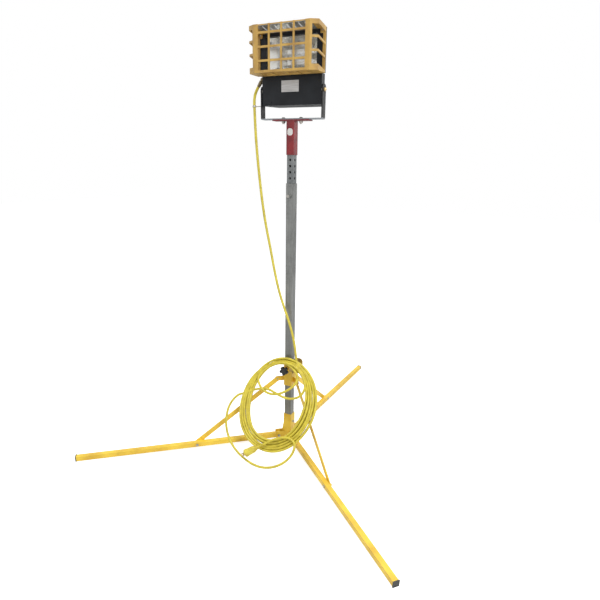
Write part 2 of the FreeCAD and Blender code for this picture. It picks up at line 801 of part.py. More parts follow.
BOX_BOTTOM = TILT_HEIGHT - D.box_below_tilt
FRAME_BOTTOM = TILT_HEIGHT + D.frame_above_tilt
WINDOW_BOTTOM = FRAME_BOTTOM + D.frame_rail
WINDOW_TOP = WINDOW_BOTTOM + D.window_height
FRAME_TOP = WINDOW_TOP + D.frame_head
CAGE_BOTTOM = FRAME_BOTTOM - D.cage_below_frame
CAGE_TOP = FRAME_TOP + D.cage_above_frame
BOX_BACK = D.box_depth - D.box_front
CASE_SCREWS = [(side * (D.frame_width / 2 - D.case_screw_inset), z) for side in (-1, 1)
               for z in (FRAME_BOTTOM + 7, FRAME_TOP - 11)]
HOUSING_BOLTS = [(side * D.housing_bolt_x, -3.2) for side in (-1, 1)]
WINDOW_MIDDLE = (WINDOW_BOTTOM + WINDOW_TOP) / 2
GLAND_Z = TILT_HEIGHT + D.gland_above_tilt
GLASS_BACK = D.frame_thick + D.glass_thick - D.frame_face
SEAT = GLASS_BACK + D.gasket_thick


def framed(half_width, y, z, window_half, window_z):
    """A rectangular frame in a plane of constant y."""
    return cut(box((-half_width, half_width), y, z),
               box((-window_half, window_half), (y[0] - 1, y[1] + 1), window_z))


def taper(y, first, last, middle):
    """A tapering block along +Y, from one (width, height) to another about a height."""
    obj = doc.addObject("Part::Wedge", "Wedge")
    half_w1, half_h1, half_w2, half_h2 = (Size.of(value) / 2 for value in first + last)
    limits = {"Ymin": y[0], "Ymax": y[1], "Xmin": -half_w1, "Xmax": half_w1, "X2min": -half_w2,
              "X2max": half_w2, "Zmin": middle - half_h1, "Zmax": middle + half_h1,
              "Z2min": middle - half_h2, "Z2max": middle + half_h2}
    for prop, value in limits.items():
        setattr(obj, prop, float(Size.of(value)))
        put(obj, prop, Size.of(value))
    return obj


def build_ballast_box():
    """The black gear box between the yoke's arms, with what it holds."""
    half, half_back = D.box_width / 2, D.box_back_width / 2
    wall = D.sheet_metal
    shoulder = D.box_shoulder

    def plan(inset, back):
        """The box from above: flat at the yoke's arms, then narrowing to its back."""
        front_y = inset - D.box_front
        right = [(half - inset, front_y), (half - inset, shoulder), (half_back - inset, back)]
        return [(-x, y) for x, y in right] + list(reversed(right))

    outside = body("GearBoxOutside")
    sketch = outline(outside, "XY_Plane", [plan(Size.of(0), BOX_BACK)], BOX_BOTTOM)
    pad(outside, sketch, FRAME_BOTTOM - BOX_BOTTOM)
    inside = body("GearBoxInside")
    pad(inside, outline(inside, "XY_Plane", [plan(wall, BOX_BACK + 1)], BOX_BOTTOM + wall),
        FRAME_BOTTOM - BOX_BOTTOM - 2 * wall)
    shell = cut(outside, inside)
    holes = [rod(D.yoke_bolt, D.box_width + 2, "x", (-half - 1, 0, TILT_HEIGHT)),
             rod(D.cord_width + 1, wall + 2, "x", (-half - 1, D.gland_y, GLAND_Z))]
    bore = D.housing_bolt + 2 * D.pivot_gap
    holes += [rod(bore, 2 * wall, "z", (x, y, FRAME_BOTTOM - 1.5 * wall)) for x, y in HOUSING_BOLTS]
    corners = [(x, z) for x in (9 - half_back, half_back - 9) for z in (BOX_BOTTOM + 7, FRAME_BOTTOM - 7)]
    post, screw, depth = D.cover_post / 2, D.cover_screw, D.cover_screw_depth
    post_y = (BOX_BACK - depth - 2, BOX_BACK)
    posts = [box((x - post, x + post), post_y, (z - post, z + post)) for x, z in corners]
    holes += [rod(screw, depth, "y", (x, BOX_BACK - depth, z)) for x, z in corners]
    front = -D.box_front
    tabs = [box(pair, (front - 1.5, front), (BOX_BOTTOM + 6, BOX_BOTTOM + 18))
            for pair in ((-128, -98), (98, 128))]
    bosses = [rod(18, 6, "x", (low, 0, TILT_HEIGHT)) for low in (-half + wall, half - wall - 6)]
    piece("ballast_box", cut(fuse(shell, *posts, *tabs, *bosses), *holes))
    cover = box((-half_back, half_back), (BOX_BACK, BOX_BACK + wall), (BOX_BOTTOM, FRAME_BOTTOM))
    clear = screw + 2 * D.pivot_gap
    piece("ballast_cover", cut(cover, *[rod(clear, wall, "y", (x, BOX_BACK, z)) for x, z in corners]))
    screws = [fuse(rod(screw, wall + depth, "y", (x, BOX_BACK - depth, z)),
                   cone(2 * screw, 1.25 * screw, 0.6 * screw, "y", (x, BOX_BACK + wall, z)))
              for x, z in corners]
    plate_low = TILT_HEIGHT - D.nameplate_below_tilt
    plate_z = (plate_low, plate_low + D.nameplate_height)
    piece("blank_nameplate", box((-D.nameplate_left, D.nameplate_width - D.nameplate_left),
                                 (front - D.nameplate_thick, front), plate_z))

    floor = BOX_BOTTOM + wall
    back = wall - D.box_front
    fit = D.fit_gap
    core_x = (-D.core_left, D.core_width - D.core_left)
    gap_x = (core_x[0] + D.core_limb, core_x[1] - D.core_limb)
    gap_z = (floor + D.core_end, floor + D.core_height - D.core_end)
    core = box(core_x, (back, back + D.core_depth), (floor, floor + D.core_height))
    piece("ballast_core", cut(core, box(gap_x, (back - 1, back + D.core_depth + 1), gap_z)))
    inset = D.winding_inset
    piece("ballast_winding", box((gap_x[0] + fit, gap_x[1] - fit), (back + inset, back + D.core_depth - inset),
                                 (gap_z[0] + fit, gap_z[1] - fit)))
    piece("capacitor", rod(D.capacitor_width, D.capacitor_height, "z", (D.capacitor_x, D.capacitor_y, floor)))
    piece("igniter", box((D.igniter_left, D.igniter_left + D.igniter_width), (-4, D.igniter_depth - 4),
                         (floor, floor + D.igniter_height)))
    piece("terminal_block", box((-D.block_left, D.block_width - D.block_left), (0, D.block_depth),
                                (floor, floor + D.block_height)))

    spacers, bolts = [], []
    gap = D.tilt_spacer_length
    for side in (-1, 1):
        low, high = sided(half, half + gap, side)
        spot = (low, 0, TILT_HEIGHT)
        spacers.append(cut(rod(D.tilt_spacer, gap, "x", spot), rod(D.yoke_bolt + 0.04, gap, "x", spot)))
        face = YOKE_WIDTH / 2 + D.fit_gap
        low, high = sided(half - 12, face, side)
        shank = rod(D.yoke_bolt, high - low, "x", (low, 0, TILT_HEIGHT))
        low, high = sided(face, face + D.tilt_head_height, side)
        head = rod(D.tilt_head, D.tilt_head_height, "x", (low, 0, TILT_HEIGHT))
        wide, narrow = D.tilt_head - 2, D.tilt_head / 2
        if side > 0:
            dome = cone(wide, narrow, D.tilt_dome, "x", (high, 0, TILT_HEIGHT))
        else:
            dome = cone(narrow, wide, D.tilt_dome, "x", (low - D.tilt_dome, 0, TILT_HEIGHT))
        bolts.append(fuse(shank, head, dome))
    piece("tilt_spacers", group(*spacers))
    piece("tilt_bolts", group(*bolts))
    return screws


def build_lamp():
    """The cast housing with reflector, lamp, glass, gasket and the dark door frame."""
    half = D.frame_width / 2
    window = D.window_width / 2
    rim = D.glass_rim
    window_z = (WINDOW_BOTTOM, WINDOW_TOP)
    frame_z = (FRAME_BOTTOM, FRAME_TOP)
    back_of_frame = D.frame_thick - D.frame_face
    frame = framed(half, (-D.frame_face, back_of_frame), frame_z, window, window_z)
    clear = D.case_screw + 2 * D.pivot_gap
    drills = [rod(clear, D.frame_thick, "y", (x, -D.frame_face, z)) for x, z in CASE_SCREWS]
    piece("door_frame", cut(frame, *drills))
    glass_z = (WINDOW_BOTTOM - rim, WINDOW_TOP + rim)
    glass = box((-window - rim, window + rim), (back_of_frame, GLASS_BACK), glass_z)
    piece("front_glass", glass)
    piece("glass_gasket", framed(window + rim, (GLASS_BACK, SEAT), glass_z, window, window_z))

    flange = box((-half, half), (back_of_frame, 0), frame_z)
    body_end = D.housing_depth - D.frame_face
    shell = taper((0, body_end), (D.frame_width - 16, FRAME_TOP - FRAME_BOTTOM - 16),
                  (D.housing_back_width, D.housing_back_height), WINDOW_MIDDLE)
    wall = D.housing_wall
    cavity = taper((SEAT, body_end - wall), (D.window_width, D.window_height),
                   (D.housing_back_width - 2 * wall, D.housing_back_height - 2 * wall), WINDOW_MIDDLE)
    roomy = rim + D.fit_gap
    pocket = box((-window - roomy, window + roomy), (back_of_frame - 1, SEAT),
                 (WINDOW_BOTTOM - roomy, WINDOW_TOP + roomy))
    thread = D.housing_bolt + 4
    bolt_holes = [rod(D.housing_bolt, thread, "z", (x, y, FRAME_BOTTOM)) for x, y in HOUSING_BOLTS]
    screw_holes = [rod(D.case_screw, 10, "y", (x, back_of_frame, z)) for x, z in CASE_SCREWS]
    piece("lamp_housing", cut(fuse(flange, shell), cavity, pocket, *bolt_holes, *screw_holes))
    wall_below = FRAME_BOTTOM - D.sheet_metal
    joining = [fuse(rod(D.housing_bolt, D.sheet_metal + thread, "z", (x, y, wall_below)),
                    hexagon(1.6 * D.housing_bolt, 4, "z", (x, y, wall_below - 4))) for x, y in HOUSING_BOLTS]
    piece("housing_bolts", group(*joining))

    thin = D.reflector_wall
    mouth = (D.window_width - 2 * D.fit_gap, D.window_height - 2 * D.fit_gap)
    back = (D.reflector_back_width, D.reflector_back_height)
    outer = taper((SEAT, SEAT + D.reflector_depth), mouth, back, WINDOW_MIDDLE)
    inner = taper((SEAT - 0.01, SEAT + D.reflector_depth - thin), (mouth[0] - 2 * thin, mouth[1] - 2 * thin),
                  (back[0] - 2 * thin, back[1] - 2 * thin), WINDOW_MIDDLE)
    piece("reflector", cut(outer, inner))
    end = SEAT + D.reflector_depth - thin
    high = D.holder_height / 2
    holders = [box(sided(D.holder_inside, D.holder_inside + D.holder_width, side), (end - D.holder_depth, end),
                   (WINDOW_MIDDLE - high, WINDOW_MIDDLE + high)) for side in (-1, 1)]
    piece("lampholders", group(*holders))
    axis_y = end - D.lamp_from_back
    bulb = rod(D.bulb_width, D.bulb_length, "x", (-D.bulb_length / 2, axis_y, WINDOW_MIDDLE))
    pinches = rod(D.pinch_width, 2 * D.holder_inside, "x", (-D.holder_inside, axis_y, WINDOW_MIDDLE))
    piece("halide_lamp", fuse(bulb, pinches))


def build_guard(cover_screws):
    """The yellow grid guard: a chamfered box of bars, with a slotted heat shield under its top."""
    front, back, depth = -D.cage_front, -D.frame_face, D.cage_depth
    half, wide = D.cage_half, D.cage_half + D.cage_chamfer
    knee = front + D.cage_chamfer_run
    slope = D.cage_chamfer_run / D.cage_chamfer
    slant = math.hypot(1, float(slope))

    def plan(inset):
        """The cage's outline from above, moved in by an inset."""
        across, along = inset * (slant - 1) / slope, inset * (slant - slope)
        right = [(half - across, front + inset), (wide - inset, knee + along), (wide - inset, back - inset)]
        return [(-x, y) for x, y in right] + list(reversed(right))

    hoop = body("Hoop")
    pad(hoop, outline(hoop, "XY_Plane", [plan(Size.of(0)), plan(depth)], CAGE_BOTTOM), CAGE_TOP - CAGE_BOTTOM)
    floor = body("Floor")
    pad(floor, outline(floor, "XY_Plane", [plan(D.fit_gap)], CAGE_BOTTOM), 4)
    roof_solid = body("RoofPlan")
    sketch = outline(roof_solid, "XY_Plane", [plan(D.fit_gap)], FRAME_BOTTOM)
    pad(roof_solid, sketch, CAGE_TOP - FRAME_BOTTOM + 1)

    def side_prism(corners):
        """A prism that runs the whole width of the cage, from (y, z) corners."""
        owner = body("Prism")
        pad(owner, outline(owner, "YZ_Plane", [corners]), 2 * wide + 20, both_ways=True)
        return owner

    top, drop = CAGE_TOP, D.cage_drop
    roof_slab = side_prism([(front, top - 4), (knee, top - 4), (back, top - drop - 4), (back, top - drop),
                            (knee, top), (front, top)])
    roof = doc.addObject("Part::Common", "Roof")
    roof.Base, roof.Tool = roof_solid, roof_slab

    columns = [-half + D.cage_post] + [D.cage_column * i for i in (-1, 0, 1)] + [half - D.cage_post]
    bar = D.cage_bar / 2
    gaps = []
    for i in range(len(columns) - 1):
        low = columns[i] + (bar if i else 0)
        high = columns[i + 1] - (bar if i + 2 < len(columns) else 0)
        gaps.append((low, high))
    rows = [CAGE_BOTTOM + 4] + [CAGE_BOTTOM + D.cage_first_row + D.cage_row * i for i in range(3)] + [top + 1]
    openings = []
    inner, rear_wall = front + depth, back - depth
    for low, high in gaps:
        for j in range(len(rows) - 1):
            bottom = rows[j] + (bar if j else 5)
            ceiling = rows[j + 1] - (bar if j + 2 < len(rows) else 0)
            openings.append(box((low, high), (front - 1, front + depth), (bottom, ceiling)))
        openings.append(box((low, high), (inner + 6, rear_wall - 6), (CAGE_BOTTOM - 1, CAGE_BOTTOM + 5)))
        openings.append(box((low, high), (inner + 3, rear_wall - 3), (top - drop - 12, top + 1)))

    for i in (1, 2, 3):
        low = CAGE_BOTTOM + getattr(D, "side_window_low_%d" % i)
        high = CAGE_BOTTOM + getattr(D, "side_window_high_%d" % i)
        openings.append(side_prism([(front + depth, low), (knee, low), (back - depth, low - drop),
                                    (back - depth, high - drop), (knee, high), (front + depth, high)]))
    rear = (back - depth, back + 1)
    tab, flange = D.cage_tab, D.cage_flange
    openings.append(box((tab - wide, wide - tab), rear, (CAGE_BOTTOM + 16, top - drop - 4)))
    openings.append(box((flange - wide, wide - flange), rear, (CAGE_BOTTOM + 16, top - drop - 20)))
    openings.append(side_prism([(front - 5, top), (knee, top), (back + 1, top - drop), (back + 1, top + 20),
                                (front - 5, top + 20)]))
    solid = fuse(hoop, floor, roof)
    clear = D.case_screw + 2 * D.pivot_gap
    drills = [rod(clear, depth + 2, "y", (x, back - depth - 1, z)) for x, z in CASE_SCREWS]
    piece("guard_cage", cut(solid, *openings, *drills))

    length = depth + D.frame_thick + 9
    screw, dome = D.case_screw, 0.6 * D.case_screw
    screws = [fuse(rod(screw, length, "y", (x, back - depth, z)),
                   cone(1.25 * screw, 2 * screw, dome, "y", (x, back - depth - dome, z)))
              for x, z in CASE_SCREWS]
    piece("case_screws", group(*screws, *cover_screws))

    sheet_top = top - 4 - D.fit_gap
    sheet_front, sheet_back = front + depth + D.fit_gap, back - depth - D.fit_gap
    lean = drop / (back - knee)
    step = (sheet_back - knee) * lean
    shield = body("Shield")
    under = sheet_top - D.shield_thick
    section = [(sheet_front, under), (knee, under), (sheet_back, under - step),
               (sheet_back, sheet_top - step), (knee, sheet_top), (sheet_front, sheet_top)]
    pad(shield, outline(shield, "YZ_Plane", [section]), D.cage_half * 2 - 12, both_ways=True)
    slots = []
    half_slot, end = D.slot_width / 2, D.slot_end
    count = int(float(D.shield_slots))
    for i in range(count):
        x = (i - (count - 1) / 2) * D.slot_pitch
        slots.append(box((x - half_slot, x + half_slot), (sheet_front + end, sheet_back - end),
                         (top - drop - 20, top)))
    piece("heat_shield", cut(shield, *slots))


# ---------------------------------------------------------------- cord, coil and plug

ELBOW = V(-float(D.box_width / 2 + D.gland_reach), float(D.gland_y), float(GLAND_Z))
DIP = math.radians(float(D.gland_dip))
EXIT = V(-math.cos(DIP), 0, -math.sin(DIP))

# the cord's route from its relief down to the coil, and from the coil down to the plug
UPPER_ROUTE = [
    (-195, 4, 1672), (-191, 0, 1616), (-182, -7, 1512), (-168, -12, 1395), (-150, -17, 1270),
    (-128, -21, 1150), (-99, -26, 1040), (-72, -31, 925), (-43, -36, 825), (-9, -40, 745),
    (25, -43, 665), (45, -43, 595), (55, -41, 532), (60, -38, 474),
]
LOWER_ROUTE = [
    (-178, -160, 296), (-208, -166, 288), (-231, -187, 264), (-243, -218, 228), (-237, -253, 175),
    (-211, -286, 126), (-163, -316, 81), (-106, -337, 53), (-44, -351, 35), (18, -358, 28),
    (70, -355, 35), (116, -345, 52), (155, -327, 79), (180, -302, 113), (184, -277, 147),
    (167, -263, 167), (137, -258, 173), (102, -262, 167), (66, -273, 152), (31, -291, 132),
    (-2, -310, 110),
]


def tangent_path(points):
    """Straight runs joined by tangent arcs, each as large as its two runs allow."""
    edges, radii = [], []
    last = points[0]
    for before, corner, after in zip(points, points[1:], points[2:]):
        inward = (corner - before).normalize()
        outward = (after - corner).normalize()
        turn = inward.getAngle(outward)
        reach = 0.45 * min((corner - before).Length, (after - corner).Length)
        radius = reach / math.tan(turn / 2)
        start, end = corner - inward * reach, corner + outward * reach
        towards = (outward - inward).normalize()
        centre_distance = math.hypot(radius, reach)
        middle = corner + towards * (centre_distance - radius)
        edges.append(Part.LineSegment(last, start).toShape())
        edges.append(Part.Arc(start, middle, end).toShape())
        radii.append(radius)
        last = end
    edges.append(Part.LineSegment(last, points[-1]).toShape())
    return Part.Wire(edges), radii


def cord_tube(name, points):
    """A round tube along a route of points."""
    points = [V(*point) for point in points]
    wire, radii = tangent_path(points)
    radius = float(D.cord_width) / 2
    disc = Part.Wire(Part.Circle(points[0], points[1] - points[0], radius).toShape())
    tube = wire.makePipeShell([disc], True, True)
    expected = math.pi * radius * radius * wire.Length
    print(name, "arc radii", " ".join("%.0f" % value for value in radii))
    print(name, "length %.0f, volume against section x length %.4f" % (wire.Length, tube.Volume / expected))
    return feature(name, tube)


def build_cord():
    """The gland, the hanging cord with its coil, the clip that holds it off the yoke and the plug."""
    side = -D.box_width / 2
    elbow_x = side - D.gland_reach
    ball = doc.addObject("Part::Sphere", "Elbow")
    put(ball, "Radius", D.gland_width / 2)
    place(ball, elbow_x, D.gland_y, GLAND_Z)
    base = rod(D.gland_width, D.gland_reach, "x", (elbow_x, D.gland_y, GLAND_Z))
    collar = hexagon(D.gland_nut, 4, "x", (side - 4, D.gland_y, GLAND_Z))
    piece("cord_gland", fuse(base, ball, collar))

    wide, length = float(D.relief_width) / 2, float(D.relief_length)
    start = ELBOW + EXIT * 8
    end = start + EXIT * length
    relief = Part.makeCone(wide, float(D.cord_width) / 2 + 1.2, length, start, EXIT)
    relief = relief.cut(Part.makeSphere(float(D.gland_width) / 2, ELBOW))
    feature("strain_relief", relief)

    cord_tube("power_cord", [end, end + EXIT * 24] + [V(*point) for point in UPPER_ROUTE])
    cord_tube("cord_tail", LOWER_ROUTE)

    lean = math.radians(float(D.coil_lean))
    down = V(0, -math.sin(lean), -math.cos(lean))
    outward = V(0, -math.cos(lean), math.sin(lean))
    top = V(float(D.coil_x), -float(D.coil_front), float(D.coil_top))
    centre = top + down * float(D.coil_drop)
    half_depth = float(D.coil_depth) / 2
    faces = []
    for grow in (0.5, -0.5):
        wide = float(D.coil_half_width + grow * D.coil_band)
        tall = float(D.coil_half_height + grow * D.coil_band)
        ellipse = Part.Ellipse(centre - outward * half_depth + down * tall,
                               centre - outward * half_depth + V(wide, 0, 0), centre - outward * half_depth)
        faces.append(Part.Face(Part.Wire(ellipse.toShape())).extrude(outward * 2 * half_depth))
    ring = faces[0].cut(faces[1])
    ring = ring.makeFillet(7, [edge for edge in ring.Edges if edge.Length > 300])
    feature("cord_coil", ring)

    direction = (V(*LOWER_ROUTE[-1]) - V(*LOWER_ROUTE[-2])).normalize()
    nose = V(*LOWER_ROUTE[-1])
    length, wide = float(D.plug_length), float(D.plug_width)
    neck = Part.makeCone(8, 0.4 * wide, 0.3 * length, nose, direction)
    grip = Part.makeCone(0.4 * wide, 0.46 * wide, 0.6 * length, nose + direction * 0.3 * length, direction)
    face = Part.makeCylinder(wide / 2, 0.1 * length, nose + direction * 0.9 * length, direction)
    feature("plug_body", neck.fuse([grip, face]).removeSplitter())
    sideways = direction.cross(V(0, 0, 1)).normalize()
    up = sideways.cross(direction).normalize()
    tip = nose + direction * length
    blades = []
    for x, y, wide_blade in ((-6.3, 3, 6.3), (6.3, 3, 6.3)):
        blade = Part.makeBox(1.5, wide_blade, 17, V(x - 0.75, y - wide_blade / 2, 0))
        blades.append(blade)
    blades.append(Part.makeCylinder(2.4, 19, V(0, -7, 0)))
    turn = FreeCAD.Placement(tip, FreeCAD.Rotation(sideways, up, direction, "ZXY"))
    for blade in blades:
        blade.Placement = turn.multiply(blade.Placement)
    feature("plug_blades", Part.makeCompound(blades))

    arm = -float(YOKE_WIDTH) / 2
    before, after = V(*UPPER_ROUTE[0]), V(*UPPER_ROUTE[1])
    spot, along = (before + after) * 0.5, (after - before).normalize()
    inside = float(D.cord_width / 2 + D.fit_gap)
    length = float(D.clip_length)
    outer = Part.makeCylinder(inside + float(D.clip_wall), length, spot - along * length / 2, along)
    inner = Part.makeCylinder(inside, 3 * length, spot - along * 1.5 * length, along)
    root = V(spot.x + inside, spot.y, spot.z)
    stalk = Part.makeCylinder(float(D.clip_stalk) / 2, arm - root.x, root, V(1, 0, 0))
    feature("cord_clip", outer.fuse(stalk).cut(inner))


# ---------------------------------------------------------------- build, check and export

build_mast()
build_lower_collar()
for leg_name, leg_heading, leg_side in LEGS:
    build_leg(leg_name, leg_heading)
    build_strut(leg_name, leg_heading, leg_side)
build_upper_collar()
build_socket()
screws_of_cover = build_ballast_box()
build_lamp()
build_guard(screws_of_cover)
build_cord()

doc.recompute()
broken = [obj.Label for obj in doc.Objects if {"Invalid", "Error"} & set(obj.State)]
broken += [obj.Label for obj in PIECES if obj.Shape.isNull() or not obj.Shape.isValid()]
if broken:
    raise RuntimeError("Failed objects: " + ", ".join(broken))

os.makedirs("parts", exist_ok=True)
for obj in PIECES:
    obj.Shape.exportStep(os.path.join("parts", obj.Label + ".step"))
    print("%-20s %3d solids, %10.0f mm3" % (obj.Label, len(obj.Shape.Solids), obj.Shape.Volume))
print(len(PIECES), "nodes")
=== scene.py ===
"""The looks of a tripod work light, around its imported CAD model. Lengths are metres."""

import math

import bmesh
import bpy
from mathutils import Matrix, Vector


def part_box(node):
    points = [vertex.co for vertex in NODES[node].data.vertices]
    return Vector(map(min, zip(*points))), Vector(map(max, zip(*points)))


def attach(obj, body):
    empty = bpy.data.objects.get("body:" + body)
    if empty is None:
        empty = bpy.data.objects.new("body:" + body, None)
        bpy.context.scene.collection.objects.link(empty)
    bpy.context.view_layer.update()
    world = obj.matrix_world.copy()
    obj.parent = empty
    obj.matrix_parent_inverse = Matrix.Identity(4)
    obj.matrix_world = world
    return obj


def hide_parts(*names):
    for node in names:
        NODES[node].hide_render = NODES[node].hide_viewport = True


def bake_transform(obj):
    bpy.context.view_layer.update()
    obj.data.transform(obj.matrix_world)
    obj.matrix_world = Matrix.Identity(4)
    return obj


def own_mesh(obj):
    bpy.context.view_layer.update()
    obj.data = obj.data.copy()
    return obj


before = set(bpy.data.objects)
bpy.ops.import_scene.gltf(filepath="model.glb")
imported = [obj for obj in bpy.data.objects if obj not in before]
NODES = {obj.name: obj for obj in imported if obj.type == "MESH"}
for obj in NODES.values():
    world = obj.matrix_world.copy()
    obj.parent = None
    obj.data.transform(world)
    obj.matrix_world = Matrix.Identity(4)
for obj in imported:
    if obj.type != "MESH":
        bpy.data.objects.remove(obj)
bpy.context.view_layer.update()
LEG_NAMES = ("left", "front", "rear")


# ---------------------------------------------------------------- camera, light and stage

LENS_MM, SENSOR_MM = 28.476, 36
SHIFT_X, SHIFT_Y = -0.0145, 0.0938
CAMERA_PLACE = (1.0896, -2.0152, 1.4073)
HEADING, PITCH, ROLL = (math.radians(angle) for angle in (115.94, -21.91, 1.51))

FLOOR_SIZE = 30
FLOOR_DROP = 0.0005
FLOOR_GREY, FLOOR_GLOW = 0.9, 0.68
SKY_COLOUR, SKY_STRENGTH = (0.86, 0.88, 0.9, 1), 0.42
WHITE = (1, 1, 1, 1)

# Name, place, target, size and power in watts.
LIGHTS = (
    ("Overhead", (0.3, -0.4, 4.4), (0, 0, 1.0), 2.4, 120),
    ("Key", (2.6, -1.9, 2.3), (0, -0.1, 1.5), 1.2, 48),
    ("Fill", (-2.8, -1.6, 2.0), (0, 0, 1.0), 2.5, 10),
    ("Back", (0.5, 3.0, 2.6), (0, 0, 1.2), 2.5, 18),
)


def build_camera():
    """In front and to the right, above the middle, looking down, with a slight roll."""
    data = bpy.data.cameras.new("Camera")
    data.lens = LENS_MM
    data.sensor_width = SENSOR_MM
    data.shift_x, data.shift_y = SHIFT_X, SHIFT_Y
    camera = bpy.data.objects.new("Camera", data)
    bpy.context.scene.collection.objects.link(camera)
    ahead = Vector((math.cos(HEADING) * math.cos(PITCH), math.sin(HEADING) * math.cos(PITCH),
                    math.sin(PITCH)))
    level = Vector((math.sin(HEADING), -math.cos(HEADING), 0))
    upright = level.cross(ahead)
    right = level * math.cos(ROLL) + upright * math.sin(ROLL)
    turn = Matrix((right, right.cross(ahead), -ahead)).transposed()
    camera.matrix_world = Matrix.Translation(CAMERA_PLACE) @ turn.to_4x4()
    bpy.context.scene.camera = camera


def build_lights():
    """Soft square lights, each pointing at its target."""
    for name, place, target, size, power in LIGHTS:
        data = bpy.data.lights.new(name, "AREA")
        data.size = size
        data.energy = power
        light = bpy.data.objects.new(name, data)
        light.location = place
        light.rotation_euler = (Vector(target) - Vector(place)).to_track_quat("-Z", "Y").to_euler()
        bpy.context.scene.collection.objects.link(light)


def fill(tree, socket, value):
    """Links a node's output to a socket, or sets the socket to a number or a colour."""
    if isinstance(value, bpy.types.NodeSocket):
        tree.links.new(value, socket)
    else:
        socket.default_value = value


def mixed_shader(tree, share, first, second):
    """The first shader where share is 0 and the second where it is 1."""
    made = tree.nodes.new("ShaderNodeMixShader")
    for socket, value in zip(made.inputs, (share, first, second)):
        tree.links.new(value, socket)
    return made.outputs[0]


def build_floor():
    """A pale floor that keeps its shadows and looks white to the camera."""
    bpy.ops.mesh.primitive_plane_add(size=FLOOR_SIZE)
    floor = bpy.context.object
    floor.name = "floor"
    floor.location.z = -FLOOR_DROP
    shade = bpy.data.materials.new("Floor")
    shade.use_nodes = True
    tree = shade.node_tree
    base = tree.nodes["Principled BSDF"]
    base.inputs["Base Color"].default_value = (FLOOR_GREY, FLOOR_GREY, FLOOR_GREY, 1)
    base.inputs["Roughness"].default_value = 0.9
    glow = tree.nodes.new("ShaderNodeEmission")
    glow.inputs["Color"].default_value = (FLOOR_GLOW, FLOOR_GLOW, FLOOR_GLOW, 1)
    both = tree.nodes.new("ShaderNodeAddShader")
    tree.links.new(base.outputs[0], both.inputs[0])
    tree.links.new(glow.outputs[0], both.inputs[1])
    path = tree.nodes.new("ShaderNodeLightPath")
    choice = mixed_shader(tree, path.outputs["Is Camera Ray"], base.outputs[0], both.outputs[0])
    tree.links.new(choice, tree.nodes["Material Output"].inputs[0])
    floor.data.materials.append(shade)


def build_world():
    """A dim pale sky as the light, and white to the camera and in metal and glass."""
    world = bpy.data.worlds.new("World")
    bpy.context.scene.world = world
    world.use_nodes = True
    tree = world.node_tree
    light = tree.nodes["Background"]
    light.inputs["Color"].default_value = SKY_COLOUR
    light.inputs["Strength"].default_value = SKY_STRENGTH
    white = tree.nodes.new("ShaderNodeBackground")
    white.inputs["Color"].default_value = WHITE
    path = tree.nodes.new("ShaderNodeLightPath")
    seen = path.outputs["Is Camera Ray"]
    for kind in ("Is Transmission Ray", "Is Glossy Ray"):
        either = tree.nodes.new("ShaderNodeMath")
        either.operation = "MAXIMUM"
        tree.links.new(seen, either.inputs[0])
        tree.links.new(path.outputs[kind], either.inputs[1])
        seen = either.outputs[0]
    choice = mixed_shader(tree, seen, light.outputs[0], white.outputs[0])
    tree.links.new(choice, tree.nodes["World Output"].inputs[0])
    bpy.context.scene.view_settings.view_transform = "Standard"


# ---------------------------------------------------------------- materials

# Sockets of a Mix node that mixes colours.
SHARE, FIRST, SECOND, RESULT = 0, 6, 7, 2

# The dot product of the true and the bevelled normal on a flat face and at a sharp edge.
FLAT_DOT, SHARP_DOT = 0.995, 0.85


